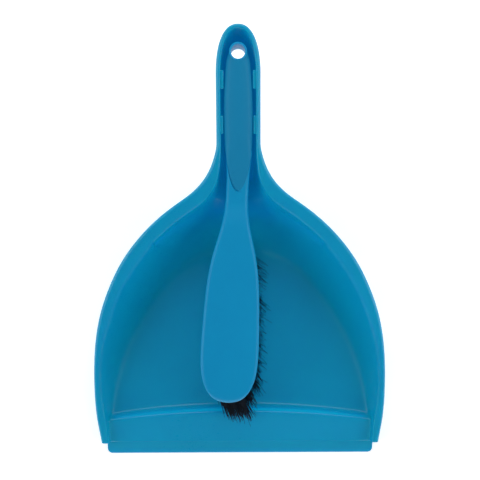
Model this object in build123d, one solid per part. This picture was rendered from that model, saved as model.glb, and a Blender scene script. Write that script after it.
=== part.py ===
from build123d import *
from math import cos, radians, sin, sqrt, tan
import os

# Dust pan with a hand brush stored in it. Millimetres, +Z up, the pan rests on z = 0.
# +Y runs from the lip to the handle end, X is across, origin under the middle of the pan.

# Overall sizes
pan_length = 330.0
pan_width = 230.2
handle_length = 115.0          # from the back of the dust well to the handle end
wall = 2.2                     # pan wall
floor_thickness = 2.4

# Rim: one tilted plane that carries the flange and the handle
rim_angle = 13.2               # degrees
front_wall_height = 13.0       # rim height where the side walls end
lip_reach = 10.0               # how far the lip stands in front of the side walls
flange_thickness = 2.6
flange_overhang = 1.3          # flange beyond the channel wall on the handle
cove_radius = 9.0              # soft corner between the well wall and the floor

# Front ramp and ridge
crest_height = 12.0
crest_setback = 35.0           # lip to crest, on the centre line
crest_radius = 690.0           # plan radius of the arced crest
ridge_back_run = 5.4           # plan run of the steep face behind the crest
lip_thickness = 1.3
lip_side_inset = 7.9           # pan half width minus lip half width
lip_corner_radius = 4.0
ramp_solid_run = 9.0           # solid edge of the lip, in front of the hollow
hollow_reach = 2.0             # how far the hollow's cutter starts under the pan
hollow_side_inset = 7.0        # solid side of the lip, beside the hollow

# Channel of the pan's handle
channel_depth = 19.0
channel_side_gap = 2.2         # grip to channel wall
handle_end_run = 36.0          # length of the rounded handle end
neck_run = 30.0                # well to straight handle
channel_overlap = 40.0         # how far the channel runs into the well
# Where the shoulder runs into the handle: beyond the handle's side, and as a share of neck_run
shoulder_run = [(10.3, 0.087), (5.0, 0.383), (1.75, 0.677), (0.0, 1.0)]

# Hanging hole, shared by pan and brush
hole_radius = 5.2
hole_from_end = 20.0
pan_hole_clearance = 0.5       # the pan's hole is wider than the brush's, on radius
boss_wall = 2.1

# Brush
brush_length = 267.5           # head front to the end of the ring
head_length = 138.0
head_width = 43.6
head_thickness = 14.0
head_skew = 3.0                # degrees, the head lies askew of the handle
skew_from_hole = 80.0          # where the skew starts, from the hanging hole
neck_width = 16.8
crown_rise = 0.8               # crest where the head meets the neck
grip_width = 21.8
grip_front_run = 56.0          # widest place to the front tip of the grip
grip_back_run = 72.0
grip_from_hole = 47.0          # hanging hole to the widest place of the grip
handle_thickness = 15.0
handle_proud = 1.5             # brush handle above the rim plane
ring_wall = 1.3
inlay_depth = 2.5              # grip sunk in the neck
core_width = 13.0
core_cover = 3.2               # grip over the core, above and below

# Fits
seat_gap = 0.3                 # brush handle over its rests
snap_gap = 0.35                # grip to the snap lugs
tuft_gap = 0.05                # tuft in its hole, on radius
sweep_gap = 0.7                # tuft tips over the pan floor and ridge

# Snap lugs and rests in the channel
lug_length = 13.0
lug_top = 3.0                  # below the rim plane
lug_height = 9.0
lug_from_hole = [15.5, 48.5]
rest_thickness = 2.0
rest_pitch = 10.2
rest_count = 3
first_rest_from_hole = 83.0

# Bristle tufts and the wire anchors that hold them
row_count = 17
row_pitch = 6.8
first_row_from_head_back = 22.0
tuft_radius = 1.85
tuft_tip_radius = 2.8
tuft_spacing = 7.4
tuft_edge = 4.6                # outermost tuft centre to the edge of the head
hole_depth = 8.0
anchor_thickness = 0.4
anchor_height = 1.6
anchor_bite = 0.3              # anchor end into the block, each side
anchor_slack = 0.05            # tuft slot round the anchor

# Derived places
lip_y = -pan_length / 2
end_y = pan_length / 2
wall_front_y = lip_y + lip_reach
well_back_y = end_y - handle_length
well_length = well_back_y - lip_y
half_width = pan_width / 2
crest_y = lip_y + crest_setback
arc_centre_y = crest_y - crest_radius
hole_y = end_y - hole_from_end
pan_hole_radius = hole_radius + pan_hole_clearance
boss_radius = pan_hole_radius + boss_wall
channel_half = grip_width / 2 + channel_side_gap
handle_half = channel_half + wall + flange_overhang
grip_y = hole_y - grip_from_hole
skew_y = hole_y - skew_from_hole
ring_radius = hole_radius + ring_wall
head_front_y = hole_y + ring_radius - brush_length
head_back_y = head_front_y + head_length
core_front_y = grip_y - 0.68 * grip_front_run
rim_slope = tan(radians(rim_angle))


def rim_z(y):
    """Height of the rim plane above a place along the pan."""
    return front_wall_height + (y - wall_front_y) * rim_slope


def on_rim(x, y):
    return (x, y, rim_z(y))


def under_rim(y, depth):
    """Height of a plane that lies parallel to the rim plane, at a depth square to it."""
    return rim_z(y) - depth / cos(radians(rim_angle))


head_top = rim_z(skew_y - 20.0)
head_bottom = head_top - head_thickness


def handle_bottom(y):
    return under_rim(y, handle_thickness - handle_proud)


def neck_bottom(y):
    """Underside of the brush: flat head, straight neck, then the tilted handle."""
    if y <= head_back_y:
        return head_bottom
    if y >= core_front_y:
        return handle_bottom(y)
    share = (y - head_back_y) / (core_front_y - head_back_y)
    return head_bottom + share * (handle_bottom(core_front_y) - head_bottom)


# Outlines, as shares of the half width and of the well length from the lip
rim_inner = [(0.915, -0.10), (0.925, 0.12), (0.945, 0.206), (0.956, 0.30), (0.948, 0.38),
             (0.898, 0.488), (0.849, 0.554), (0.781, 0.631), (0.679, 0.714), (0.563, 0.789),
             (0.422, 0.856), (0.255, 0.918), (0.0, 0.955)]
foot = [(0.905, -0.10), (0.912, 0.10), (0.886, 0.232), (0.840, 0.325), (0.780, 0.414),
        (0.722, 0.480), (0.644, 0.554), (0.545, 0.628), (0.407, 0.699), (0.215, 0.750),
        (0.0, 0.766)]
rim_outer = [(0.955, 0.0), (0.987, 0.130), (1.0, 0.274), (0.976, 0.450), (0.9375, 0.543),
             (0.878, 0.630), (0.796, 0.717), (0.681, 0.802), (0.520, 0.887), (0.416, 0.929),
             (0.3075, 0.971)]
head_shape = [(0.0, 0.0), (0.46, 0.018), (0.815, 0.087), (0.995, 0.23), (0.99, 0.40),
              (0.95, 0.55), (0.76, 0.80), (0.456, 1.0)]


def placed(shape):
    return [(share_x * half_width, lip_y + share_y * well_length) for share_x, share_y in shape]


def grown(points, amount):
    """Moves each point of a half outline outwards, square to the line through its neighbours."""
    moved = []
    for i, (x, y) in enumerate(points):
        before = points[max(i - 1, 0)]
        after = points[min(i + 1, len(points) - 1)]
        if i == len(points) - 1:
            moved.append((0.0, y + amount))
            continue
        run_x = after[0] - before[0]
        run_y = after[1] - before[1]
        run = sqrt(run_x**2 + run_y**2)
        moved.append((x + amount * run_y / run, y - amount * run_x / run))
    return moved


def curve(points, start, end):
    """A smooth line through the points, with its direction given at both ends."""
    return Spline(*points, tangents=[start, end], tangent_scalars=[1, 1])


def closed_face(half_points, slope=0.0):
    """A face from the right half of an outline that ends on the centre line at the back."""
    right = curve(half_points, (0, 1, slope), (-1, 0, 0))
    left = mirror(right, Plane.YZ)
    front = Line(left @ 0, right @ 0)
    return make_face([right, left, front])


def well_solid(amount, bottom_z, cove):
    """The dust well, from its foot outline up to the rim plane."""
    low = [(x, y, bottom_z) for x, y in grown(placed(foot), amount)]
    high = [on_rim(x, y) for x, y in grown(placed(rim_inner), amount)]
    body = loft([closed_face(low), closed_face(high, rim_slope)], ruled=True)
    foot_edges = [edge for edge in body.edges().group_by(Axis.Z)[0] if edge.geom_type != GeomType.LINE]
    return fillet(foot_edges, cove)


def rim_cap(half, tip_y):
    """Rounded end on the rim plane, a quarter ellipse from its side to its tip."""
    points = []
    for step in range(5):
        turn = radians(22.5 * step)
        points.append(on_rim(half * cos(turn), tip_y - handle_end_run * (1 - sin(turn))))
    return curve(points, (0, 1, rim_slope), (-1, 0, 0))


def rim_plane_at(y):
    """Work plane on the rim, x across, its second axis running up the handle."""
    square = (0, -sin(radians(rim_angle)), cos(radians(rim_angle)))
    return Plane(origin=(0, y, rim_z(y)), x_dir=(1, 0, 0), z_dir=square)


def rim_box(x_low, x_high, y_low, y_high, depth_low, depth_high):
    """A box given across, along the pan and in depth under the rim plane."""
    tilt = cos(radians(rim_angle))
    size_y = (y_high - y_low) / tilt
    size_z = depth_high - depth_low
    middle_x = (x_low + x_high) / 2
    block = Pos(middle_x, 0, -(depth_low + depth_high) / 2) * Box(x_high - x_low, size_y, size_z)
    return rim_plane_at((y_low + y_high) / 2) * block


def channel_solid(half, depth, tip_y, edge_radius):
    """Trough body with upright walls, from inside the well to the handle end."""
    start_y = well_back_y - channel_overlap
    straight = [on_rim(half, start_y), on_rim(half, tip_y - handle_end_run)]
    side = Line(*straight)
    tip = rim_cap(half, tip_y)
    half_edges = [side, tip]
    other = [mirror(edge, Plane.YZ) for edge in half_edges]
    front = Line(other[0] @ 0, side @ 0)
    body = extrude(make_face(half_edges + other + [front]), depth / cos(radians(rim_angle)), dir=(0, 0, -1))
    floor_edges = min(body.faces(), key=lambda face: face.normal_at().Z).edges()
    side_edges = [edge for edge in floor_edges if edge.center().Y > start_y + 1.0]
    return fillet(side_edges, edge_radius)


def flange_solid():
    """Flat rim round the well and the handle."""
    side = [on_rim(x, y) for x, y in placed(rim_outer)]
    for away, along in shoulder_run:
        side.append(on_rim(handle_half + away, well_back_y + along * neck_run))
    shoulder = curve(side, (0.05, 1, rim_slope), (0, 1, rim_slope))
    straight = Line(shoulder @ 1, on_rim(handle_half, end_y - handle_end_run))
    half = [shoulder, straight, rim_cap(handle_half, end_y)]
    other = [mirror(edge, Plane.YZ) for edge in half]
    front = Line(other[0] @ 0, shoulder @ 0)
    return extrude(make_face(half + other + [front]), flange_thickness, dir=(0, 0, -1))


def ramp_profile(drop, front_y, base_z):
    """Side view of the ramp from base_z up, its top face lowered by drop."""
    reach_y = crest_y + 20.0
    rise = (crest_height - lip_thickness) / crest_setback
    low = lip_thickness + (front_y - lip_y) * rise - drop
    high = lip_thickness + (reach_y - lip_y) * rise - drop
    corners = [(front_y, base_z), (front_y, low), (reach_y, high), (reach_y, base_z)]
    return Plane.YZ * make_face(Polyline(*corners, close=True))


def ridge_limit(inset, base_z):
    """Everything in front of the steep, arced back face of the ridge."""
    slope = ridge_back_run / (crest_height - floor_thickness)
    base_radius = crest_radius + slope * (crest_height - base_z) - inset
    top_radius = crest_radius - slope * crest_height - inset
    height = 2 * crest_height - base_z
    body = Cone(base_radius, top_radius, height, align=(Align.CENTER, Align.CENTER, Align.MIN))
    return Pos(0, arc_centre_y, base_z) * body


def ramp_solid(drop, front_y, half, inset, base_z):
    return extrude(ramp_profile(drop, front_y, base_z), half, both=True) & ridge_limit(inset, base_z)


def front_piece(envelope):
    """Ramp between the side walls, and the lip in front of them."""
    ramp = ramp_solid(0.0, lip_y, half_width, 0.0, 0.0)
    lip_half = half_width - lip_side_inset
    lip_plan = Rectangle(2 * lip_half, 3 * lip_reach, align=(Align.CENTER, Align.MIN))
    lip_plan = fillet(lip_plan.vertices().group_by(Axis.Y)[0], lip_corner_radius)
    lip_block = Pos(0, lip_y, 0) * extrude(lip_plan, crest_height)
    hollow_half = lip_half - hollow_side_inset
    hollow = ramp_solid(wall, lip_y + ramp_solid_run, hollow_half, wall, -hollow_reach)
    return (ramp & envelope) + (ramp & lip_block), hollow


def grip_half_at(y):
    """Half width of the grip, two half ellipses that meet at its widest place."""
    run = grip_back_run if y > grip_y else grip_front_run
    return grip_width / 2 * sqrt(max(0.0, 1 - ((y - grip_y) / run) ** 2))


def snap_lugs():
    """Two pairs of lugs on the channel walls, which hold the grip by its sides."""
    lugs = []
    for distance in lug_from_hole:
        centre_y = hole_y - distance
        ends = [centre_y - lug_length / 2, centre_y + lug_length / 2]
        widest = max([grip_half_at(y) for y in ends + [centre_y]])
        for side in (-1, 1):
            near = side * (widest + snap_gap)
            far = side * (channel_half + wall / 2)
            lug = rim_box(min(near, far), max(near, far), ends[0], ends[1], lug_top, lug_top + lug_height)
            lugs.append(lug)
    return lugs


def channel_rests():
    """Low cross walls in the channel, just under the brush."""
    rests = []
    for i in range(rest_count):
        y = hole_y - first_rest_from_hole - i * rest_pitch
        lowest = min(neck_bottom(y - rest_thickness), neck_bottom(y + rest_thickness))
        base_z = under_rim(y, channel_depth + wall / 2)
        height = lowest - seat_gap - base_z
        block = Box(2 * channel_half + wall, rest_thickness, height)
        rests.append(Pos(0, y, base_z + height / 2) * block)
    return rests


def hole_boss():
    """Tube round the hanging hole, up to the ring of the brush."""
    base_z = under_rim(hole_y - boss_radius, channel_depth + wall / 2)
    top_z = handle_bottom(hole_y - boss_radius) - seat_gap
    return Pos(0, hole_y, base_z) * extrude(Circle(boss_radius), top_z - base_z)


def pan_shell():
    outer = well_solid(wall, 0.0, cove_radius + wall)
    front_cut = Pos(0, wall_front_y, 0) * Box(2 * pan_width, 2 * pan_length, 4 * pan_length,
                                              align=(Align.CENTER, Align.MIN, Align.CENTER))
    outer &= front_cut
    cavity = well_solid(0.0, floor_thickness, cove_radius)
    trough = channel_solid(channel_half + wall, channel_depth + wall, end_y - flange_overhang, 5.0)
    channel = channel_solid(channel_half, channel_depth, end_y - flange_overhang - wall, 3.0)
    body = outer + trough + (flange_solid() & front_cut)
    body = body - cavity - channel
    front, hollow = front_piece(outer)
    body = body - hollow + (front - hollow)
    for piece in snap_lugs() + channel_rests():
        body += piece
    body += hole_boss()
    body -= Pos(0, hole_y, 0) * Cylinder(pan_hole_radius, 4 * pan_length)
    return body


def skewed(piece):
    """Turns a piece of the brush head about the place where the skew starts."""
    return Pos(0, skew_y, 0) * Rot(0, 0, -head_skew) * Pos(0, -skew_y, 0) * piece


def head_half_at(y):
    """Half width of the head, along straight lines between the shape's points."""
    share = (y - head_front_y) / head_length
    for (x0, s0), (x1, s1) in zip(head_shape, head_shape[1:]):
        if s0 <= share <= s1:
            return head_width / 2 * (x0 + (x1 - x0) * (share - s0) / (s1 - s0))
    return 0.0


def head_plan():
    """Head and neck seen from above."""
    points = [(x * head_width / 2, head_front_y + s * head_length) for x, s in head_shape]
    points.append((neck_width / 2, head_back_y + 18.0))
    right = curve(points, (1, 0), (0, 1))
    side = Line(right @ 1, (neck_width / 2, core_front_y))
    half = [right, side]
    other = [mirror(edge, Plane.YZ) for edge in half]
    back = Line(other[1] @ 1, side @ 1)
    return make_face(half + other + [back])


def head_side():
    """Head and neck seen from the side: flat head, low crest, dip, then up the handle's slope."""
    points = [(head_front_y - 1, head_top - 3.0), (head_front_y + 12, head_top - 0.3),
              (head_front_y + 40, head_top), (head_back_y - 20, head_top),
              (head_back_y, head_top + crown_rise), (head_back_y + 12, head_top - 0.8),
              (core_front_y, under_rim(core_front_y, -handle_proud))]
    top = curve(points, (1, 0.5), (1, rim_slope))
    under = Polyline(top @ 1, (core_front_y, handle_bottom(core_front_y)), (head_back_y, head_bottom),
                     (head_front_y - 1, head_bottom), top @ 0)
    return Plane.YZ * make_face([top, under])


def handle_side(cover):
    """Side view of the brush handle, its faces drawn in by cover."""
    front_y = core_front_y - 2.0
    back_y = hole_y + 2 * ring_radius
    top = cover - handle_proud
    bottom = handle_thickness - handle_proud - cover
    corners = [(front_y, under_rim(front_y, bottom)), (back_y, under_rim(back_y, bottom)),
               (back_y, under_rim(back_y, top)), (front_y, under_rim(front_y, top))]
    return Plane.YZ * make_face(Polyline(*corners, close=True))


def grip_pod(rise=0.0):
    """Outer form of the grip: two half ellipses in plan, as thick as the handle, with its top raised."""
    front = Ellipse(grip_width / 2, grip_front_run)
    front &= Pos(0, -grip_front_run) * Rectangle(2 * grip_width, 2 * grip_front_run)
    back = Ellipse(grip_width / 2, grip_back_run)
    back &= Pos(0, grip_back_run) * Rectangle(2 * grip_width, 2 * grip_back_run)
    plan = Pos(0, grip_y) * (front + back)
    column = extrude(plan, 3 * pan_length)
    start_y = grip_y - grip_front_run - 5.0
    top = -handle_proud - rise
    slab = rim_box(-grip_width, grip_width, start_y, hole_y, top, handle_thickness - handle_proud)
    under_inlay = rim_box(-grip_width, grip_width, start_y, core_front_y, inlay_depth - handle_proud,
                          2 * handle_thickness)
    return (column & slab) - under_inlay


def tuft_places():
    """For each row, its place along the head and the tufts' places across it."""
    rows = []
    for i in range(row_count):
        y = head_back_y - first_row_from_head_back - i * row_pitch
        reach = max(head_half_at(y) - tuft_edge, 0.0)
        steps = int(2 * reach / tuft_spacing)
        rows.append((y, [(k - steps / 2) * tuft_spacing for k in range(steps + 1)]))
    return rows


def brush_block():
    """Head, neck, core of the handle and the ring round the hanging hole, in one moulding."""
    head = extrude(head_plan(), 3 * pan_length) & extrude(head_side(), head_width, both=True)
    hole = Cylinder(tuft_radius + tuft_gap, 2 * hole_depth)
    head -= [Pos(x, y, head_bottom) * hole for y, places in tuft_places() for x in places]
    core = extrude(handle_side(core_cover), core_width / 2, both=True)
    core &= Pos(0, core_front_y - 2.0, 0) * Box(pan_width, hole_y - core_front_y + 2.0, 3 * pan_length,
                                                align=(Align.CENTER, Align.MIN, Align.CENTER))
    ring_bottom = handle_bottom(hole_y - ring_radius)
    ring_top = under_rim(hole_y + ring_radius, -handle_proud)
    ring = Pos(0, hole_y, ring_bottom) * extrude(Circle(ring_radius), ring_top - ring_bottom)
    body = (skewed(head) - grip_pod(head_thickness)) + core + ring
    return body - Pos(0, hole_y, 0) * Cylinder(hole_radius, 4 * pan_length)


def tip_of(x, y, row):
    """Where a tuft's tip lies: every tuft leans right and forwards, most of all at the front."""
    share = row / (row_count - 1)
    tip_x = x + 5.5 + 2.0 * share
    tip_y = y - 6.5 - 8.5 * share**4
    clear_y = crest_y + ridge_back_run + 2 * tuft_tip_radius + 1.0
    base = crest_height if tip_y < clear_y else floor_thickness
    return tip_x, tip_y, base + sweep_gap


def anchor(x, y, slack):
    """Flat wire across the bottom of a tuft hole."""
    length = 2 * (tuft_radius + tuft_gap + anchor_bite + slack)
    z = head_bottom + hole_depth - 0.4 - anchor_height / 2
    return Pos(x, y, z) * Box(length, anchor_thickness + 2 * slack, anchor_height + 2 * slack)


def tuft(x, y, row):
    """One tuft: a round foot in its hole, and a leaning bundle that spreads to its tip."""
    foot_part = Pos(x, y, head_bottom) * extrude(Circle(tuft_radius), hole_depth - 0.2)
    tip_x, tip_y, tip_z = tip_of(x, y, row)
    top_face = Pos(x, y, head_bottom) * Circle(tuft_radius)
    tip_face = Pos(tip_x, tip_y, tip_z) * Circle(tuft_tip_radius)
    body = foot_part + loft([tip_face, top_face], ruled=True)
    return body - anchor(x, y, anchor_slack)


def write(name, *solids):
    shape = solids[0] if len(solids) == 1 else Compound(children=list(solids))
    export_step(shape, f"parts/{name}.step")
    print(name, len(shape.solids()), round(shape.volume, 1))


os.makedirs("parts", exist_ok=True)
block = brush_block()
bore = Pos(0, hole_y, 0) * Cylinder(ring_radius, 4 * pan_length)
write("pan_shell", pan_shell())
write("brush_block", block)
write("handle_grip", grip_pod() - bore - block)
for row, (row_y, row_places) in enumerate(tuft_places()):
    number = f"{row + 1:02d}"
    write(f"bristle_row_{number}", *[skewed(tuft(x, row_y, row)) for x in row_places])
    write(f"anchor_row_{number}", *[skewed(anchor(x, row_y, 0.0)) for x in row_places])
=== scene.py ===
import math
import bmesh
import bpy
import numpy as np
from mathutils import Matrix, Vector


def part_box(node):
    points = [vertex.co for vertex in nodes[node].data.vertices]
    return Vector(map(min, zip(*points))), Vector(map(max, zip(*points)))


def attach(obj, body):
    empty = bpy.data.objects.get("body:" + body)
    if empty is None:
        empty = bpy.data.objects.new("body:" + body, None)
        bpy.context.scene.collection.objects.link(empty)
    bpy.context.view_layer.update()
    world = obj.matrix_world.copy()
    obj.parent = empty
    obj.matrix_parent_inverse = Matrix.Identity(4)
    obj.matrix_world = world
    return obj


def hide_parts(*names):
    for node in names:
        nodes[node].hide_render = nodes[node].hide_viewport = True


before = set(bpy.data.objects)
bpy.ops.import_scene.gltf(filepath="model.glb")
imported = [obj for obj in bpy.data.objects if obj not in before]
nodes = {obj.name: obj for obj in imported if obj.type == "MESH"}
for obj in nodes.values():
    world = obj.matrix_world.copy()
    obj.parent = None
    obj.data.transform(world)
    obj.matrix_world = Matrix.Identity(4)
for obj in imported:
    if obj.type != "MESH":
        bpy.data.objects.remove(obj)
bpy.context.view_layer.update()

# Lengths are in millimetres here and become metres in makeMesh.
# x runs across, y from the lip to the handle end, z up.


def boxOf(node):
    low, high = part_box(node)
    return np.array(low) * 1000.0, np.array(high) * 1000.0


panLow, panHigh = boxOf("pan_shell")
blockLow, blockHigh = boxOf("brush_block")
lipY = panLow[1]
endY = panHigh[1]
halfWide = panHigh[0]

pan = {
    "rimAngle": 13.2,          # degrees
    "frontWall": 13.0,         # rim height where the side walls end
    "lipReach": 10.0,
    "handleLength": 115.0,
    "floor": 2.4,
    "wall": 2.2,
    "cove": 8.0,               # softness of the corner between floor and wall
    "crestHeight": 12.0,
    "crestSetback": 35.0,
    "crestRadius": 690.0,
    "ridgeRun": 5.4,
    "lipThick": 1.3,
    "lipInset": 7.9,
    "channelHalf": 13.1,
    "channelDepth": 19.5,
    "overhang": 1.3,
    "endRun": 36.0,
    "endPower": 2.3,           # the handle's end is a superellipse
    "neckRun": 30.0,
    "openFrom": (4.0, 30.0),   # y between which the channel's opening sets in
    "openTo": (38.0, 64.0),    # y between which it narrows to the handle
    "holeFromEnd": 20.0,
    "holeRadius": 5.7,
    "drillMore": 1.0,          # the body is drilled wider, inside the boss
    "bossRadius": 7.8,
    "bossBase": 19.0,          # depth of the boss's foot under the rim, above the channel's wall
    "seatGap": 0.3,
    "flangeUnder": 2.2,
    "flangeDrop": 3.4,
    "flangeRound": 2.8,
    "edgeSoft": 3.0,           # softness of the rim's inner edge
}

slope = math.tan(math.radians(pan["rimAngle"]))
tiltCos = math.cos(math.radians(pan["rimAngle"]))
wallFrontY = lipY + pan["lipReach"]
wellBackY = endY - pan["handleLength"]
wellLength = wellBackY - lipY
holeY = endY - pan["holeFromEnd"]
crestY = lipY + pan["crestSetback"]
arcY = crestY - pan["crestRadius"]
handleHalf = pan["channelHalf"] + pan["wall"] + pan["overhang"]
capY = endY - pan["endRun"]


def smoothCurve(points, startWay, endWay, count=400):
    # Cubic spline through points, its tangents given at both ends:
    # each span is p(u) = (2u^3-3u^2+1)a + (u^3-2u^2+u)ha' + (3u^2-2u^3)b + (u^3-u^2)hb'.
    p = np.array(points, float)
    h = np.linalg.norm(np.diff(p, axis=0), axis=1)
    n = len(p)
    system = np.zeros((n, n))
    right = np.zeros((n, 2))
    system[0, 0] = system[-1, -1] = 1.0
    right[0] = startWay
    right[-1] = endWay
    for i in range(1, n - 1):
        system[i, i - 1] = h[i]
        system[i, i] = 2 * (h[i - 1] + h[i])
        system[i, i + 1] = h[i - 1]
        right[i] = 3 * (h[i] * (p[i] - p[i - 1]) / h[i - 1] + h[i - 1] * (p[i + 1] - p[i]) / h[i])
    way = np.linalg.solve(system, right)
    knots = np.concatenate([[0], np.cumsum(h)])
    s = np.linspace(0, knots[-1], count)
    k = np.clip(np.searchsorted(knots, s, side="right") - 1, 0, n - 2)
    span = h[k][:, None]
    u = ((s - knots[k]) / h[k])[:, None]
    return ((2 * u**3 - 3 * u**2 + 1) * p[k] + (u**3 - 2 * u**2 + u) * span * way[k]
            + (3 * u**2 - 2 * u**3) * p[k + 1] + (u**3 - u**2) * span * way[k + 1])


def smin(a, b, k):
    # Soft minimum: half of a + b - sqrt((a-b)^2 + k^2).
    return 0.5 * (a + b - np.sqrt((a - b) ** 2 + k * k))


def smax(a, b, k):
    return 0.5 * (a + b + np.sqrt((a - b) ** 2 + k * k))


def step(low, high, v):
    t = np.clip((v - low) / (high - low), 0, 1)
    return t * t * (3 - 2 * t)


def distanceTo(line, x, y):
    # Distance from each (x, y) to a polyline, by its nearest span.
    a = line[:-1]
    d = np.diff(line, axis=0)
    length2 = np.maximum((d ** 2).sum(1), 1e-12)
    out = np.empty(x.shape)
    for start in range(0, x.size, 4000):
        px = x.ravel()[start:start + 4000, None] - a[None, :, 0]
        py = y.ravel()[start:start + 4000, None] - a[None, :, 1]
        t = np.clip((px * d[:, 0] + py * d[:, 1]) / length2, 0, 1)
        gap = (px - t * d[:, 0]) ** 2 + (py - t * d[:, 1]) ** 2
        out.ravel()[start:start + 4000] = np.sqrt(gap.min(1))
    return out


def halfAt(line, y):
    # Half width of an outline that runs up in y, at places y.
    return np.interp(y, line[:, 1], line[:, 0])


def evenOut(x, z, count, bend=2.5):
    # count points along a profile, spaced by length plus bend times the angle turned.
    run = np.hypot(np.diff(x), np.diff(z))
    keep = np.concatenate([[True], run > 1e-6])
    x, z = x[keep], z[keep]
    run = np.hypot(np.diff(x), np.diff(z))
    way = np.unwrap(np.arctan2(np.diff(z), np.diff(x)))
    turn = np.zeros(len(run))
    half = 0.5 * np.abs(np.diff(way))
    turn[:-1] += half
    turn[1:] += half
    soft = np.convolve(np.pad(turn, 6, mode="edge"), np.hanning(13) / np.hanning(13).sum(), mode="valid")
    measure = np.concatenate([[0], np.cumsum(run + bend * soft)])
    at = np.linspace(0, measure[-1], count)
    return np.interp(at, measure, x), np.interp(at, measure, z)


def makeMesh(name, points, faces, sharp=38.0):
    mesh = bpy.data.meshes.new(name)
    mesh.from_pydata((np.asarray(points) * 0.001).tolist(), [], faces)
    form = bmesh.new()
    form.from_mesh(mesh)
    if form.calc_volume(signed=True) < 0:      # a closed form that encloses less than nothing is inside out
        bmesh.ops.reverse_faces(form, faces=form.faces)
    form.to_mesh(mesh)
    form.free()
    mesh.polygons.foreach_set("use_smooth", [True] * len(mesh.polygons))
    mesh.set_sharp_from_angle(angle=math.radians(sharp))
    mesh.update()
    piece = bpy.data.objects.new(name, mesh)
    bpy.context.scene.collection.objects.link(piece)
    return piece


def loopFaces(rows, cols, capStart=True, capEnd=True):
    # Quads between closed rings of points, with a face over each end ring.
    i = np.arange(rows - 1)[:, None]
    j = np.arange(cols)[None, :]
    a = i * cols + j
    b = i * cols + (j + 1) % cols
    quads = np.stack([a, b, b + cols, a + cols], axis=-1).reshape(-1, 4).tolist()
    if capStart:
        quads.append(list(range(cols - 1, -1, -1)))
    if capEnd:
        quads.append(list(range((rows - 1) * cols, rows * cols)))
    return quads


def ringFrom(topX, topZ, lowX, lowZ):
    # One closed ring: right half of the top outwards, underside inwards, then the left half.
    rx = np.concatenate([topX, lowX[1:]])
    rz = np.concatenate([topZ, lowZ[1:]])
    return np.concatenate([rx, -rx[-2:0:-1]]), np.concatenate([rz, rz[-2:0:-1]])


def softBlock(name, middle, size, radius, tilt=0.0, turn=0.0):
    # Box with round edges: a sphere of the edge radius, its octants moved out to the corners.
    lon = np.linspace(0, 2 * np.pi, 33)[:-1]
    lat = np.linspace(-np.pi / 2, np.pi / 2, 18)
    lonGrid, latGrid = np.meshgrid(lon + np.pi / 32, lat)
    level = np.cos(latGrid)
    ball = np.stack([level * np.cos(lonGrid), level * np.sin(lonGrid), np.sin(latGrid)], -1)
    core = np.array(size) / 2 - radius
    p = ball * radius + np.sign(ball) * core
    p[0, :, 0:2] = ball[0, :, 0:2] * radius + np.sign(ball[1, :, 0:2]) * core[0:2]
    p[-1, :, 0:2] = ball[-1, :, 0:2] * radius + np.sign(ball[1, :, 0:2]) * core[0:2]
    p = p.reshape(-1, 3)
    c, s = math.cos(math.radians(tilt)), math.sin(math.radians(tilt))
    p = p @ np.array([[1, 0, 0], [0, c, -s], [0, s, c]]).T
    c, s = math.cos(math.radians(turn)), math.sin(math.radians(turn))
    p = p @ np.array([[c, -s, 0], [s, c, 0], [0, 0, 1]]).T
    return makeMesh(name, p + np.array(middle), loopFaces(18, 32))


def tube(name, middle, inner, outer, lowZ, highZ, lipRound, tilt=0.0):
    # Ring with round lips, a closed profile turned about a vertical line; its top follows tilt.
    a = np.linspace(0, np.pi / 2, 5)
    r = lipRound
    px = np.concatenate([outer - r + r * np.cos(a), inner + r - r * np.cos(a[::-1]),
                         inner + r - r * np.cos(a), outer - r + r * np.cos(a[::-1])])
    drop = r - r * np.sin(a)
    pz = np.concatenate([-drop, -drop[::-1], drop, drop[::-1]])
    top = np.concatenate([np.ones(10), np.zeros(10)])
    turn = np.linspace(0, 2 * np.pi, 65)[:-1][:, None]
    x = middle[0] + px * np.cos(turn)
    y = middle[1] + px * np.sin(turn)
    z = np.where(top > 0, highZ, lowZ) + pz + (y - middle[1]) * math.tan(math.radians(tilt))
    points = np.stack([x, y, z], -1).reshape(-1, 3)
    rows, cols = x.shape
    i = np.arange(rows)[:, None]
    j = np.arange(cols)[None, :]
    a0 = i * cols + j
    b0 = ((i + 1) % rows) * cols + j
    a1 = i * cols + (j + 1) % cols
    b1 = ((i + 1) % rows) * cols + (j + 1) % cols
    return makeMesh(name, points, np.stack([a0, b0, b1, a1], -1).reshape(-1, 4).tolist())


print("pan outlines")


def placed(shape):
    return [(sx * halfWide, lipY + sy * wellLength) for sx, sy in shape]


rimInner = smoothCurve(placed([
    (0.915, -0.10), (0.925, 0.12), (0.945, 0.206), (0.956, 0.30), (0.948, 0.38), (0.898, 0.488),
    (0.849, 0.554), (0.781, 0.631), (0.679, 0.714), (0.563, 0.789), (0.422, 0.856), (0.255, 0.918),
    (0.0, 0.955)]), (0, 1), (-1, 0))
foot = smoothCurve(placed([
    (0.905, -0.10), (0.912, 0.10), (0.886, 0.232), (0.840, 0.325), (0.780, 0.414), (0.722, 0.480),
    (0.644, 0.554), (0.545, 0.628), (0.407, 0.699), (0.215, 0.750), (0.0, 0.766)]),
    (0, 1), (-1, 0))
shoulder = placed([
    (0.955, 0.0), (0.987, 0.130), (1.0, 0.274), (0.976, 0.450), (0.9375, 0.543), (0.878, 0.630),
    (0.796, 0.717), (0.681, 0.802), (0.520, 0.887), (0.416, 0.929), (0.3075, 0.971)])
for away, along in [(10.3, 0.087), (5.0, 0.383), (1.75, 0.677), (0.0, 1.0)]:
    shoulder.append((handleHalf + away, wellBackY + along * pan["neckRun"]))
capTurn = np.linspace(0, np.pi / 2, 60)[1:]
capShape = np.stack([np.abs(np.cos(capTurn)), np.sin(capTurn)], -1) ** (2.0 / pan["endPower"])
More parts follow.
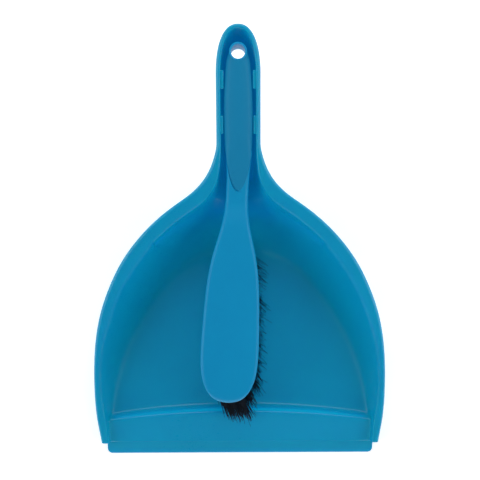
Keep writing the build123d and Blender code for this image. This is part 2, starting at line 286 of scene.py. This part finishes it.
cap = capShape * [handleHalf, pan["endRun"]] + [0.0, capY]
rimOuter = np.concatenate([smoothCurve(shoulder, (0.05, 1), (0, 1)), [[handleHalf, capY]], cap])
rimOuter[:, 0] = np.minimum(rimOuter[:, 0], halfWide)
flare = smoothCurve(placed([(0.563, 0.789), (0.422, 0.856)])
                    + [(33.0, 30.0), (21.5, 41.2), (16.4, 50.8), (14.2, 60.5), (pan["channelHalf"], 75.0)],
                    (-0.76, 0.65), (0, 1))


def rimHeight(y):
    return pan["frontWall"] + (y - wallFrontY) * slope


def signedInside(line, x, y):
    # Distance to an outline that is closed at the back, positive inside it.
    near = distanceTo(line, np.abs(x), y)
    inside = (y < line[-1, 1]) & (np.abs(x) < halfAt(line, y))
    return np.where(inside, near, -near)


def channelInside(grow, x, y):
    # Distance into the handle's channel: straight sides, closed by half a superellipse at the back,
    # and flared where it opens into the well. grow moves its side outwards.
    half = pan["channelHalf"] + grow
    tipY = endY - pan["overhang"] - pan["wall"] + grow
    run = pan["endRun"]
    up = np.maximum(y - (tipY - run), 0.0)
    power = pan["endPower"]
    rho = ((np.abs(x) / half) ** power + (up / run) ** power) ** (1.0 / power)
    r = np.hypot(x, up)
    radial = r / np.maximum(rho, 1e-6) - r
    inside = np.where(up > 0, radial, half - np.abs(x))
    low = y < flare[-1, 1]
    toFlare = np.zeros(x.shape)
    toFlare[low] = distanceTo(flare, np.abs(x[low]), y[low])
    flared = np.where(np.abs(x) < np.interp(y, flare[:, 1], flare[:, 0]), toFlare, -toFlare) + grow
    return np.where(low, flared, inside)


def channelDrop(into, y, depth, grow):
    # Depth under the rim as a superellipse of the distance from the edge: steep beside the grip,
    # long and slack where the channel opens into the well.
    opening = 1 - step(*pan["openTo"], y)
    reach = 5.0 + 19.0 * opening + 9.0 * step(holeY - 2.0, endY - 8.0, y) + grow
    power = 3.0 - 1.3 * opening
    u = np.clip(into / reach, 0, 1)
    drop = depth * (1 - (1 - u) ** power) ** (1 / power)
    return step(*pan["openFrom"], y) * drop + 6.0 * np.minimum(into, 0.0)


def rampHeight(y):
    return pan["lipThick"] + (y - lipY) * (pan["crestHeight"] - pan["lipThick"]) / pan["crestSetback"]


def ridgeHeight(x, y):
    # Lower of the ramp plane and the steep face behind an arced crest.
    behind = y - (arcY + np.sqrt(pan["crestRadius"] ** 2 - x ** 2))
    tall = pan["crestHeight"] - pan["floor"]
    steep = pan["floor"] + (pan["ridgeRun"] - behind) * tall / pan["ridgeRun"]
    return smin(rampHeight(y), steep, 1.6)


def panTop(x, y):
    # Inside of the pan: floor and ridge, wall by its share between foot and rim, cut by the
    # channel, held under the flange, which rolls down at its outer edge.
    toFoot = -signedInside(foot, x, y)
    toRim = signedInside(rimInner, x, y)
    share = toFoot / np.maximum(toFoot + toRim, 1.0)
    rim = rimHeight(y)
    wallZ = pan["floor"] + share * (rim - pan["floor"])
    base = smax(pan["floor"] + 0 * x, ridgeHeight(x, y), 2.2)
    well = smax(base, wallZ, pan["cove"])
    into = channelInside(0.0, x, y)
    trough = rim - channelDrop(into, y, pan["channelDepth"], 0.0) + 2.0 * np.maximum(4.0 - y, 0.0)
    inner = smin(well, trough, 2.0 + 5.0 * (1 - step(30.0, 60.0, y)))
    outIn = signedInside(rimOuter, x, y)
    flange = smin(inner, rim + 0.45, pan["edgeSoft"])
    edge = np.clip(1 - outIn / pan["flangeRound"], 0, 1)
    return flange - pan["flangeDrop"] * (1 - np.sqrt(1 - edge ** 2))


def panUnder(x, y):
    # Outside of the pan: rolled flange edge, outer wall, channel body and hollow ramp.
    toFoot = -signedInside(foot, x, y) - pan["wall"]
    toRim = signedInside(rimInner, x, y) + pan["wall"]
    share = toFoot / np.maximum(toFoot + toRim, 1.0)
    rim = rimHeight(y)
    behind = y - (arcY + np.sqrt(pan["crestRadius"] ** 2 - x ** 2))
    hollow = (rampHeight(y) - pan["wall"]) * (1 - step(1.8, 3.0, behind)) \
        * step(lipY + 8.6, lipY + 9.4, y) * (1 - step(100.0, 102.0, np.abs(x)))
    well = smax(hollow, share * rim, 3.0)
    into = channelInside(pan["wall"], x, y)
    depth = pan["channelDepth"] + pan["wall"] / tiltCos
    trough = rim - channelDrop(into, y, depth, pan["wall"]) + 2.0 * np.maximum(4.0 - y, 0.0)
    outIn = signedInside(rimOuter, x, y)
    lipUnder = (pan["flangeDrop"] - pan["flangeUnder"] + 0.1) * (1 - step(0.2, 1.5, outIn))
    flange = rim - pan["flangeUnder"] - lipUnder
    return smin(smin(well, trough, 2.0 + 4.0 * (1 - step(30.0, 60.0, y))), flange, 0.6)


def footAt(y):
    # Where the inside of a section turns from floor to wall; beside the channel it is the channel's floor.
    inner = float(halfAt(foot, np.array([y]))[0]) if y < foot[-1, 1] else 0.0
    return max(inner, 10.5)


def crossSamples(y):
    # Places across one half of the pan where its height is worked out, close together at features.
    out = float(halfAt(rimOuter, np.array([y]))[0])
    turn = min(footAt(y), 0.7 * out)
    wall = np.linspace(max(turn - 8, 0.0), out, 420)
    edge = out - min(4.0, out) * (1 - np.cos(np.linspace(0, np.pi / 2, 50)))
    return np.unique(np.concatenate([np.linspace(0, turn, 90), wall, edge, [turn]]))


def turnAt(xs, y):
    return min(footAt(y), 0.7 * xs[-1])


def sectionRing(xs, topZ, lowZ, turn):
    # One closed ring round a section, each side split at the place where floor turns to wall.
    near, far = xs <= turn, xs >= turn
    floorX, floorZ = evenOut(xs[near], topZ[near], 34)
    wallX, wallZ = evenOut(xs[far], topZ[far], 66)
    backX, backZ = evenOut(xs[far][::-1], lowZ[far][::-1], 42)
    baseX, baseZ = evenOut(xs[near][::-1], lowZ[near][::-1], 20)
    return ringFrom(np.concatenate([floorX, wallX[1:]]), np.concatenate([floorZ, wallZ[1:]]),
                    np.concatenate([backX, baseX[1:]]), np.concatenate([backZ, baseZ[1:]]))


def lipRing(y):
    # Ring across the lip in front of the side walls, round at its front edge and corners.
    reach = y - lipY
    corner = 4.0 * (1 - math.sqrt(max(0.0, 1 - max(0.0, 1 - reach / 4.0) ** 2)))
    half = halfWide - pan["lipInset"] - corner
    nose = 0.55 * (1 - math.sqrt(max(0.0, 1 - max(0.0, 1 - reach / 0.7) ** 2)))
    turn = footAt(wallFrontY)
    edge = half - 0.6 * (1 - np.cos(np.linspace(0, np.pi / 2, 14)))
    xs = np.unique(np.concatenate([np.linspace(0, half, 300), edge, [min(turn, half - 2.0)]]))
    top = float(rampHeight(y)) - nose
    low = min(nose * 0.8, top - 0.15)
    cut = max(0.0, min(1.0, (reach - 8.6) / 0.8)) * (float(rampHeight(y)) - pan["wall"])
    roundness = min(0.5, (top - low) * 0.45)
    side = np.clip(1 - (half - xs) / roundness, 0, 1)
    topZ = top - roundness * (1 - np.sqrt(1 - side ** 2))
    lowZ = low + roundness * (1 - np.sqrt(1 - side ** 2)) + cut * (1 - step(100.0, 102.0, xs))
    lowZ[-1] = topZ[-1]
    return sectionRing(xs, topZ, lowZ, min(turn, half - 2.0))


def panStations():
    front = [0.0, 0.12, 0.35, 0.7, 1.3, 2.2, 3.2, 4.2, 6.0, 7.6, 8.6, 8.9, 9.3, 9.85]
    ridge = np.arange(wallFrontY + 1.0, crestY + 9.0, 0.75)
    well = np.arange(crestY + 9.0, -14.0, 2.4)
    back = np.arange(-14.0, 66.0, 1.15)
    neck = np.arange(66.0, capY + 6.0, 2.6)
    turn = np.linspace(math.asin(6.0 / pan["endRun"]), math.asin(0.9996), 36)[1:]
    start = [wallFrontY, wallFrontY + 0.25, wallFrontY + 0.6]
    end = capY + pan["endRun"] * np.sin(turn)
    return front, np.concatenate([start, ridge, well, back, neck, end])


def makePan():
    front, stations = panStations()
    rows = [(lipY + reach, lipRing(lipY + reach)) for reach in front]
    samples = [crossSamples(y) for y in stations]
    allX = np.concatenate(samples)
    allY = np.concatenate([np.full(len(xs), y) for xs, y in zip(samples, stations)])
    topAll = panTop(allX, allY)
    lowAll = np.maximum(np.minimum(panUnder(allX, allY), topAll - 0.6), 0.0)
    starts = np.concatenate([[0], np.cumsum([len(xs) for xs in samples])])
    for k, (xs, y) in enumerate(zip(samples, stations)):
        topZ = topAll[starts[k]:starts[k + 1]].copy()
        lowZ = lowAll[starts[k]:starts[k + 1]].copy()
        lowZ[xs > xs[-1] - 0.05] = topZ[xs > xs[-1] - 0.05]
        lead = max(0.0, 1 - (y - wallFrontY) / 0.7)
        pull = 0.5 * (1 - math.sqrt(max(0.0, 1 - lead ** 2)))
        topZ -= pull * step(0.86 * xs[-1], 0.95 * xs[-1], xs)
        rows.append((y, sectionRing(xs, topZ, lowZ, turnAt(xs, y))))
    grid = np.array([np.stack([ringX, np.full(len(ringX), y), ringZ], -1) for y, (ringX, ringZ) in rows])
    return makeMesh("pan_body", grid.reshape(-1, 3), loopFaces(grid.shape[0], grid.shape[1]))


def drill(piece, middle, radius, lowZ=30.0, highZ=120.0, sides=64):
    # Takes a round hole out of a piece with a turned cutter, then drops the cutter.
    turn = np.linspace(0, 2 * np.pi, sides + 1)[:-1]
    ring = np.stack([middle[0] + radius * np.cos(turn), middle[1] + radius * np.sin(turn)], -1)
    low = np.column_stack([ring, np.full(sides, lowZ)])
    high = np.column_stack([ring, np.full(sides, highZ)])
    cutter = makeMesh(piece.name + "_cutter", np.concatenate([low, high]), loopFaces(2, sides))
    cut = piece.modifiers.new("hole", "BOOLEAN")
    cut.operation = "DIFFERENCE"
    cut.solver = "MANIFOLD"
    cut.object = cutter
    bpy.context.view_layer.update()
    drilled = bpy.data.meshes.new_from_object(piece.evaluated_get(bpy.context.evaluated_depsgraph_get()))
    piece.modifiers.clear()
    piece.data = drilled
    bpy.data.objects.remove(cutter)


print("pan body")
panBody = makePan()
drill(panBody, (0.0, holeY), pan["holeRadius"] + pan["drillMore"])
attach(panBody, "dustpan")
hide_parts("pan_shell")

grip = {
    "half": 10.9,
    "frontRun": 53.5,
    "backRun": 72.0,
    "fromHole": 47.0,
    "proud": 1.5,
    "thick": 15.0,
    "hole": 5.2,
    "ring": 6.5,
    "drilled": 5.8,            # between the ring's two radii
}
gripY = holeY - grip["fromHole"]


def underRim(y, depth):
    return rimHeight(y) - depth / tiltCos


def handleUnder(y):
    return underRim(y, grip["thick"] - grip["proud"])


def gripHalf(y):
    run = np.where(y > gripY, grip["backRun"], grip["frontRun"])
    return grip["half"] * np.sqrt(np.maximum(0, 1 - ((y - gripY) / run) ** 2))


panExtras = []


def makeLugs(length=13.5, depth=1.0, tall=9.0, fromHole=(18.5, 51.0), gap=0.35):
    # Two pairs of lugs, as far in as the grip's widest place beside them plus the gap.
    for k, away in enumerate(fromHole):
        y = holeY - away
        widest = float(gripHalf(np.array([y - length / 2, y, y + length / 2])).max()) + gap
        far = pan["channelHalf"] + 1.2
        for side in (-1, 1):
            middle = (side * (widest + far) / 2, y, underRim(y, depth + tall / 2))
            name = f"pan_lug_{k + 1}_{'left' if side < 0 else 'right'}"
            panExtras.append(softBlock(name, middle, (far - widest, length, tall), 0.7, pan["rimAngle"]))


def makeRests(first=83.0, pitch=10.2, count=3, thick=1.6, gap=6.5):
    # Low cross walls in the channel, kept well under the brush so that they show only faintly.
    coreY = gripY - 0.68 * grip["frontRun"]
    headBack = blockLow[1] + 138.0
    headLow = rimHeight(holeY - 100.0) - 14.0
    for k in range(count):
        y = holeY - first - k * pitch
        t = min(max((y - 2 - headBack) / (coreY - headBack), 0.0), 1.0)
        top = headLow + t * (handleUnder(coreY) - headLow) - gap
        if y - 2 > coreY:
            top = handleUnder(y - 2) - gap
        low = rimHeight(y) - pan["channelDepth"] - 1.2
        size = (2 * pan["channelHalf"] + 0.6, thick, top - low)
        panExtras.append(softBlock(f"pan_rest_{k + 1}", (0, y, (top + low) / 2), size, 0.5))


makeLugs()
makeRests()
bossTop = handleUnder(holeY - pan["bossRadius"]) - pan["seatGap"]
bossLow = underRim(holeY, pan["bossBase"] + pan["wall"]) - 0.4
boss = tube("pan_hole_boss", (0, holeY), pan["holeRadius"], pan["bossRadius"], bossLow, bossTop, 0.5)
panExtras.append(boss)
for piece in panExtras:
    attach(piece, "dustpan")


print("brush block and grip")

head = {
    "length": 138.0,
    "half": 21.8,
    "thick": 14.0,
    "skew": 3.0,
    "skewFromHole": 80.0,
    "neckHalf": 8.4,
    "crown": 0.8,
    "edge": 2.8,
}
headFront = float(blockHigh[1] - 267.5)
headBack = headFront + head["length"]
skewY = holeY - head["skewFromHole"]
coreY = gripY - 0.68 * grip["frontRun"]
headTop = float(rimHeight(skewY - 20.0))
headLow = headTop - head["thick"]


def skewed(points):
    # Turns points of the brush head about the place where its skew starts.
    c, s = math.cos(math.radians(head["skew"])), math.sin(math.radians(head["skew"]))
    p = np.array(points, float)
    x, y = p[..., 0].copy(), p[..., 1] - skewY
    p[..., 0] = c * x + s * y
    p[..., 1] = -s * x + c * y + skewY
    return p


headShape = [(0.0, 0.0), (0.46, 0.018), (0.815, 0.087), (0.995, 0.23), (0.99, 0.40), (0.95, 0.55),
             (0.76, 0.80), (0.456, 1.0)]
headLine = smoothCurve([(x * head["half"], headFront + s * head["length"]) for x, s in headShape]
                       + [(head["neckHalf"], headBack + 18.0)], (1, 0), (0, 1))
neckLine = [[head["neckHalf"], 52.0], [8.6, 59.0], [9.25, 67.0], [9.6, 73.0], [9.7, 76.0]]
headLine = np.concatenate([headLine, neckLine])
# The head's top seen from the side, as (z, y): level, a low crest at its back, then up the neck.
sideLine = smoothCurve([
    (headTop - 3.0, headFront - 1), (headTop - 0.3, headFront + 12), (headTop, headFront + 40),
    (headTop, headBack - 20), (headTop + head["crown"], headBack), (headTop - 0.8, headBack + 12),
    (underRim(coreY, -grip["proud"]), coreY), (underRim(coreY + 20, -grip["proud"]), coreY + 20)],
    (0.45, 0.9), (slope, 1))


def headSurface(x, y):
    # Head and neck: top by the side line, its edge rounded by the distance to the outline.
    away = distanceTo(headLine, np.abs(x), y)
    top = np.interp(y, sideLine[:, 1], sideLine[:, 0])
    half = halfAt(headLine, y)
    dome = -0.45 * (x / np.maximum(half, 0.5)) ** 2
    edge = np.clip(1 - away / head["edge"], 0, 1)
    inlay = (y > gripY - grip["frontRun"]) * step(-0.35, 0.25, gripHalf(y) - np.abs(x))
    pocket = 1.2 * inlay
    return top + dome - pocket - head["edge"] * 0.85 * (1 - np.sqrt(1 - edge ** 2))


def headUnder(x, y):
    away = distanceTo(headLine, np.abs(x), y)
    t = np.clip((y - headBack) / (coreY - headBack), 0, None)
    low = headLow + t * (handleUnder(coreY) - headLow)
    edge = np.clip(1 - away / 1.0, 0, 1)
    return low + 1.0 * (1 - np.sqrt(1 - edge ** 2))


def makeHead(topCount=34, lowCount=20):
    turn = np.linspace(0.02, np.pi / 2, 22)
    front = headFront + 12.0 * (1 - np.cos(turn))
    stations = np.concatenate([front, np.arange(headFront + 13.5, headBack - 6, 2.6),
                               np.arange(headBack - 6, 75.0, 0.9)])
    points = []
    for y in stations:
        half = float(halfAt(headLine, np.array([y]))[0])
        xs = half * np.sin(np.linspace(0, np.pi / 2, 160))
        ys = np.full(len(xs), y)
        topX, topZ = evenOut(xs, headSurface(xs, ys), topCount, 1.5)
        lowX, lowZ = evenOut(xs[::-1], headUnder(xs, ys)[::-1], lowCount, 1.0)
        rx, rz = ringFrom(topX, topZ, np.concatenate([topX[-1:], lowX]), np.concatenate([topZ[-1:], lowZ]))
        points.append(np.stack([rx, np.full(len(rx), y), rz], -1))
    grid = skewed(np.array(points))
    return makeMesh("brush_head", grid.reshape(-1, 3), loopFaces(grid.shape[0], grid.shape[1]))


def gripOutline(y):
    # Grip's half width: its two half ellipses, drawn in to the ring at the hanging hole.
    ring = grip["ring"] + 0.1
    taper = ring + 0.42 * np.maximum(holeY - y, 0.0)
    end = np.sqrt(np.maximum(ring ** 2 - np.maximum(y - holeY, 0.0) ** 2, 0.0))
    return np.minimum(smin(gripHalf(y), taper + 0.25, 0.8), np.where(y > holeY, end, 99.0))


def makeGrip(topCount=30, lowCount=20, inlayEnd=62.0):
    # The inlay in the neck has a crisp edge, and behind inlayEnd the grip's edge and top are round.
    ring = grip["ring"] + 0.1
    tipY = gripY - grip["frontRun"]
    turn = np.linspace(0.03, np.pi / 2, 18)
    front = tipY + 10.0 * (1 - np.cos(turn))
    back = holeY + ring * np.sin(np.linspace(0, np.pi / 2 - 0.02, 22))
    long = np.arange(tipY + 11.2, holeY - 8, 1.6)
    ringFront = np.arange(holeY - 7.5, holeY - 0.3, 0.7)
    stations = np.concatenate([front, long, ringFront, back])
    line = np.stack([gripOutline(stations), stations], -1)
    line = np.concatenate([[[0, tipY]], line, [[0, holeY + ring]]])
    points = []
    for y in stations:
        half = float(gripOutline(np.array([y]))[0])
        xs = half * np.sin(np.linspace(0, np.pi / 2, 140))
        ys = np.full(len(xs), y)
        away = distanceTo(line, xs, ys)
        soft = 0.9 + 3.3 * float(step(inlayEnd, inlayEnd + 22.0, y))
        edge = np.clip(1 - away / soft, 0, 1)
        rise = 0.5 * math.sin(math.pi * min(max((y - inlayEnd) / (holeY - inlayEnd), 0.0), 1.0))
        level = underRim(y, -grip["proud"])
        if y < inlayEnd:
            level = float(np.interp(y, sideLine[:, 1], sideLine[:, 0]))
        crown = 0.3 + 1.9 * float(step(inlayEnd, inlayEnd + 28.0, y))
        topZ = level + 0.15 + rise - crown * (xs / half) ** 2 - 0.85 * soft * (1 - np.sqrt(1 - edge ** 2))
        deep = 2.4 + (grip["thick"] - 2.4) * float(step(coreY - 2.0, coreY + 3.0, y))
        low = np.clip(1 - away / 3.0, 0, 1)
        lowZ = underRim(y, deep - grip["proud"]) + min(2.4, deep * 0.4) * (1 - np.sqrt(1 - low ** 2))
        lowZ = np.minimum(lowZ, topZ - 0.2)
        topX, topZ = evenOut(xs, topZ, topCount, 1.5)
        lowX, lowZ = evenOut(xs[::-1], lowZ[::-1], lowCount, 1.0)
        rx, rz = ringFrom(topX, topZ, np.concatenate([topX[-1:], lowX]), np.concatenate([topZ[-1:], lowZ]))
        points.append(np.stack([rx, np.full(len(rx), y), rz], -1))
    grid = np.array(points)
    return makeMesh("brush_grip", grid.reshape(-1, 3), loopFaces(grid.shape[0], grid.shape[1]))


brushHead = makeHead()
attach(brushHead, "brush")
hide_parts("brush_block")
brushGrip = makeGrip()
drill(brushGrip, (0.0, holeY), grip["drilled"])
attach(brushGrip, "brush")
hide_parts("handle_grip")
ringTop = underRim(holeY, -grip["proud"]) + 0.35
ringLow = handleUnder(holeY) - 0.1
holeRing = tube("brush_hole_ring", (0, holeY), grip["hole"], grip["ring"], ringLow, ringTop, 0.55,
                pan["rimAngle"])
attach(holeRing, "brush")


bristle = {
    "rows": 17,
    "pitch": 6.8,
    "firstFromBack": 22.0,
    "spacing": 7.4,
    "edge": 4.6,
    "footRadius": 1.75,
    "tipRadius": 3.3,
    "thick": 0.19,             # radius of one filament
    "perTuft": 84,
    "frontTuft": 60,           # further filaments in a tuft of the front row
    "steps": 7,
    "sweep": 0.7,
}
rng = np.random.default_rng(11)


def headHalfAt(y):
    share = (y - headFront) / head["length"]
    s = [point[1] for point in headShape]
    x = [point[0] for point in headShape]
    return head["half"] * float(np.interp(share, s, x))


def tuftPlaces():
    rows = []
    for i in range(bristle["rows"]):
        y = headBack - bristle["firstFromBack"] - i * bristle["pitch"]
        reach = max(headHalfAt(y) - bristle["edge"], 0.0)
        steps = int(2 * reach / bristle["spacing"])
        rows.append((y, [(k - steps / 2) * bristle["spacing"] for k in range(steps + 1)]))
    return rows


def makeTufts(row, y, places):
    # Filaments of one row: each bends from its foot to its tip as foot + t*down + t^2*lean.
    share = row / (bristle["rows"] - 1)
    lines = []
    for k, x in enumerate(places):
        count = bristle["perTuft"] + int(bristle["frontTuft"] * share ** 3)
        turn = rng.uniform(0, 2 * np.pi, count)
        r = np.sqrt(rng.uniform(0, 1, count))
        footX = x + bristle["footRadius"] * r * np.cos(turn)
        footY = y + bristle["footRadius"] * r * np.sin(turn)
        side = (x + 15) / 30
        spread = bristle["tipRadius"]
        leanX = 4.5 + 1.5 * side + share ** 4 * (7.5 - 6.5 * side) + rng.normal(0, 1.0 + share ** 4, count)
        leanY = -6.5 - 15.0 * share ** 5 + rng.normal(0, 1.2 + 1.2 * share ** 4, count)
        stray = rng.uniform(0, 1, count) < 0.13
        leanX += np.where(stray, rng.uniform(1.0, 5.5, count) * (0.3 + side) * (1.6 - 0.8 * share), 0.0)
        leanY -= np.where(stray, rng.uniform(0.0, 7.0, count), 0.0)
        tipX = x + leanX + spread * r * np.cos(turn)
        tipY = y + leanY + spread * r * np.sin(turn)
        world = skewed(np.stack([tipX, tipY], -1))
        clear = crestY + pan["ridgeRun"] + 2.0 - world[:, 1]
        base = np.where(clear > -3.0, pan["crestHeight"] + 0.9, pan["floor"])
        tipZ = base + bristle["sweep"] + rng.uniform(0.0, 1.6, count)
        lines.append(np.stack([footX, footY, tipX, tipY, tipZ], -1))
    data = np.concatenate(lines)
    t = np.linspace(0, 1, bristle["steps"])[None, :]
    curl = t ** 1.9
    px = data[:, 0:1] + (data[:, 2:3] - data[:, 0:1]) * curl
    py = data[:, 1:2] + (data[:, 3:4] - data[:, 1:2]) * curl
    topZ = headLow + 0.6
    pz = topZ + (data[:, 4:5] - topZ) * (t * 0.96 + 0.04 * t ** 2)
    centre = skewed(np.stack([px, py, pz], -1))
    corner = np.array([0, 2 * np.pi / 3, 4 * np.pi / 3])
    thick = bristle["thick"] * (1 - 0.25 * t ** 3)
    ring = np.stack([np.cos(corner), np.sin(corner), 0 * corner], -1)
    points = centre[:, :, None, :] + thick[..., None, None] * ring[None, None, :, :]
    n, steps = points.shape[0], points.shape[1]
    base = (np.arange(n) * steps * 3)[:, None, None]
    i = np.arange(steps - 1)[None, :, None] * 3
    j = np.arange(3)[None, None, :]
    a = base + i + j
    b = base + i + (j + 1) % 3
    quads = np.stack([a, a + 3, b + 3, b], -1).reshape(-1, 4).tolist()
    first = (base[:, 0, 0][:, None] + np.array([0, 1, 2])).tolist()
    last = (base[:, 0, 0][:, None] + (steps - 1) * 3 + np.array([2, 1, 0])).tolist()
    name = f"bristles_{row + 1:02d}"
    piece = makeMesh(name, points.reshape(-1, 3), quads + first + last, 180.0)
    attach(piece, "brush")
    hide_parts(f"bristle_row_{row + 1:02d}")
    return piece


print("bristles")
bristlePieces = [makeTufts(row, y, places) for row, (y, places) in enumerate(tuftPlaces())]


print("materials")


class Wire:
    # A socket that takes arithmetic: each operator adds one Math node.

    def __init__(self, tree, socket):
        self.tree = tree
        self.socket = socket

    def math(self, operation, other, swap=False):
        node = self.tree.nodes.new("ShaderNodeMath")
        node.operation = operation
        first, second = (1, 0) if swap else (0, 1)
        self.tree.links.new(self.socket, node.inputs[first])
        if isinstance(other, Wire):
            self.tree.links.new(other.socket, node.inputs[second])
        else:
            node.inputs[second].default_value = other
        return Wire(self.tree, node.outputs[0])

    def __add__(self, other):
        return self.math("ADD", other)

    __radd__ = __add__

    def __mul__(self, other):
        return self.math("MULTIPLY", other)

    __rmul__ = __mul__

    def __sub__(self, other):
        return self.math("SUBTRACT", other)

    def __rsub__(self, other):
        return self.math("SUBTRACT", other, True)


class Maker:
    # Builds one material's nodes.

    def __init__(self, name):
        self.material = bpy.data.materials.new(name)
        self.material.use_nodes = True
        self.tree = self.material.node_tree
        self.shader = self.tree.nodes["Principled BSDF"]

    def node(self, kind, settings=None, inputs=None, out=0):
        made = self.tree.nodes.new(kind)
        for key, value in (settings or {}).items():
            if key == "stops":
                ramp = made.color_ramp
                while len(ramp.elements) < len(value):
                    ramp.elements.new(0.5)
                for element, (place, colour) in zip(ramp.elements, value):
                    element.position = place
                    element.color = (*colour, 1)
            else:
                setattr(made, key, value)
        for key, value in (inputs or {}).items():
            if isinstance(value, Wire):
                self.tree.links.new(value.socket, made.inputs[key])
            else:
                made.inputs[key].default_value = value
        return Wire(self.tree, made.outputs[out])

    def place(self):
        return self.node("ShaderNodeTexCoord", out=3)

    def noise(self, scale, detail=3.0, rough=0.5):
        inputs = {"Vector": self.place(), "Scale": scale, "Detail": detail, "Roughness": rough}
        return self.node("ShaderNodeTexNoise", {}, inputs)

    def ramp(self, value, stops):
        return self.node("ShaderNodeValToRGB", {"stops": stops}, {"Fac": value})

    def bump(self, height, strength, distance):
        inputs = {"Height": height, "Strength": strength, "Distance": distance}
        return self.node("ShaderNodeBump", {}, inputs)

    def feed(self, **sockets):
        for key, value in sockets.items():
            socket = self.shader.inputs[key.replace("_", " ")]
            if isinstance(value, Wire):
                self.tree.links.new(value.socket, socket)
            else:
                socket.default_value = value


def plastic(name, look):
    # Moulded plastic: slow cloudy colour, faint flow marks, fine scuffs in the gloss.
    # A faint emission is a painted glow: the plastic shines with a fixed blue light of its own, standing in
    # for the daylight that a thin wall lets pass.
    m = Maker(name)
    cloud = m.noise(9.0, 3.0)
    flow = m.noise(140.0, 4.0, 0.6)
    scuff = m.noise(900.0, 2.0, 0.6)
    colour = m.ramp(cloud * 0.8 + flow * 0.2, [(0.30, look["deep"]), (0.70, look["light"])])
    gloss = look["rough"] + (scuff - 0.5) * 0.10 + (cloud - 0.5) * 0.08
    m.feed(Base_Color=colour, Roughness=gloss, Normal=m.bump(flow + scuff * 0.3, 0.05, 0.0004))
    m.feed(IOR=look["ior"], Coat_Weight=look["coat"], Coat_Roughness=0.10, Subsurface_Weight=look["glow"],
           Subsurface_Scale=0.006, Subsurface_Radius=(0.05, 0.6, 1.0))
    # Painted glow: this emission colour and strength add light that no lamp casts.
    m.feed(Emission_Color=(0.0, 0.22, 0.44, 1.0), Emission_Strength=look["through"])
    return m.material


# through sets the strength of each plastic's painted glow.
plastics = {
    "pan plastic": {"deep": (0.0, 0.27, 0.42), "light": (0.0, 0.31, 0.47), "rough": 0.30, "coat": 0.08,
                    "glow": 0.6, "ior": 1.38, "through": 0.24},
    "brush plastic": {"deep": (0.0, 0.24, 0.48), "light": (0.0, 0.28, 0.53), "rough": 0.44, "coat": 0.0,
                      "glow": 0.3, "ior": 1.34, "through": 0.20},
    "soft grip": {"deep": (0.003, 0.19, 0.38), "light": (0.005, 0.22, 0.42), "rough": 0.56, "coat": 0.0,
                  "glow": 0.15, "ior": 1.30, "through": 0.14},
}
panPlastic, brushPlastic, gripRubber = [plastic(name, look) for name, look in plastics.items()]


def filamentMaterial():
    # Near-black filament, some strands a little lighter than others.
    m = Maker("bristle filament")
    strand = m.noise(700.0, 1.0)
    colour = m.ramp(strand, [(0.35, (0.001, 0.004, 0.011)), (0.7, (0.004, 0.012, 0.026))])
    m.feed(Base_Color=colour, Roughness=0.5 + strand * 0.15, IOR=1.22)
    return m.material


def wireMaterial():
    m = Maker("anchor wire")
    grain = m.noise(2500.0, 2.0)
    colour = m.ramp(grain, [(0.3, (0.42, 0.42, 0.41)), (0.7, (0.62, 0.62, 0.60))])
    m.feed(Base_Color=colour, Metallic=1.0, Roughness=0.3 + grain * 0.15)
    return m.material


def finish(piece, material):
    piece.data.materials.clear()
    piece.data.materials.append(material)


filament = filamentMaterial()
wire = wireMaterial()
for piece in [panBody] + panExtras:
    finish(piece, panPlastic)
for piece in (brushHead, holeRing):
    finish(piece, brushPlastic)
finish(brushGrip, gripRubber)
for piece in bristlePieces:
    finish(piece, filament)
for name, node in nodes.items():
    if name.startswith("anchor_row"):
        finish(node, wire)


print("stage")


def makeFloor():
    size = 4000.0
    mesh = bpy.data.meshes.new("floor")
    s = size * 0.001
    mesh.from_pydata([(-s, -s, 0), (s, -s, 0), (s, s, 0), (-s, s, 0)], [], [(0, 1, 2, 3)])
    floor = bpy.data.objects.new("floor", mesh)
    bpy.context.scene.collection.objects.link(floor)
    m = Maker("pale floor")
    grain = m.noise(30.0, 2.0)
    pale = m.ramp(grain, [(0.3, (0.90, 0.90, 0.90)), (0.7, (0.93, 0.93, 0.93))])
    m.feed(Base_Color=pale, Roughness=0.8, Emission_Color=pale, Emission_Strength=0.55)
    finish(floor, m.material)


def areaLight(name, place, aim, size, power, colour=(1, 1, 1)):
    light = bpy.data.lights.new(name, "AREA")
    light.shape = "RECTANGLE"
    light.size, light.size_y = size
    light.energy = power
    light.color = colour
    lamp = bpy.data.objects.new(name, light)
    lamp.location = place
    lamp.rotation_euler = (Vector(aim) - Vector(place)).to_track_quat("-Z", "Y").to_euler()
    bpy.context.scene.collection.objects.link(lamp)


def makeCamera(high=0.812, lens=74.9, place=(0.0008, 0.0075), roll=-0.27):
    data = bpy.data.cameras.new("camera")
    data.lens = lens
    data.sensor_width = 36.0
    data.clip_start = 0.01
    camera = bpy.data.objects.new("camera", data)
    camera.location = (place[0], place[1], high)
    camera.rotation_euler = (0, 0, math.radians(roll))
    bpy.context.scene.collection.objects.link(camera)
    bpy.context.scene.camera = camera


studio = {
    "reach": 0.92,             # sideways distance of the three soft panels, metres
    "high": 0.62,
    "size": (0.95, 0.75),
    "power": 4.9,
    "frontPlace": (0.0, -1.20, 0.36),
    "frontPower": 3.8,
    "air": 0.16,
}
makeFloor()
for name, way in [("left", (-1, 0)), ("right", (1, 0)), ("back", (0, 1))]:
    place = (way[0] * studio["reach"], way[1] * studio["reach"], studio["high"])
    areaLight(name + " panel", place, (0, 0, 0.03), studio["size"], studio["power"])
areaLight("front panel", studio["frontPlace"], (0, 0, 0.05), (1.0, 0.5), studio["frontPower"])
world = bpy.data.worlds.new("studio")
bpy.context.scene.world = world
world.use_nodes = True
world.node_tree.nodes["Background"].inputs["Color"].default_value = (0.95, 0.97, 1.0, 1)
world.node_tree.nodes["Background"].inputs["Strength"].default_value = studio["air"]
bpy.context.scene.view_settings.view_transform = "Standard"
makeCamera()
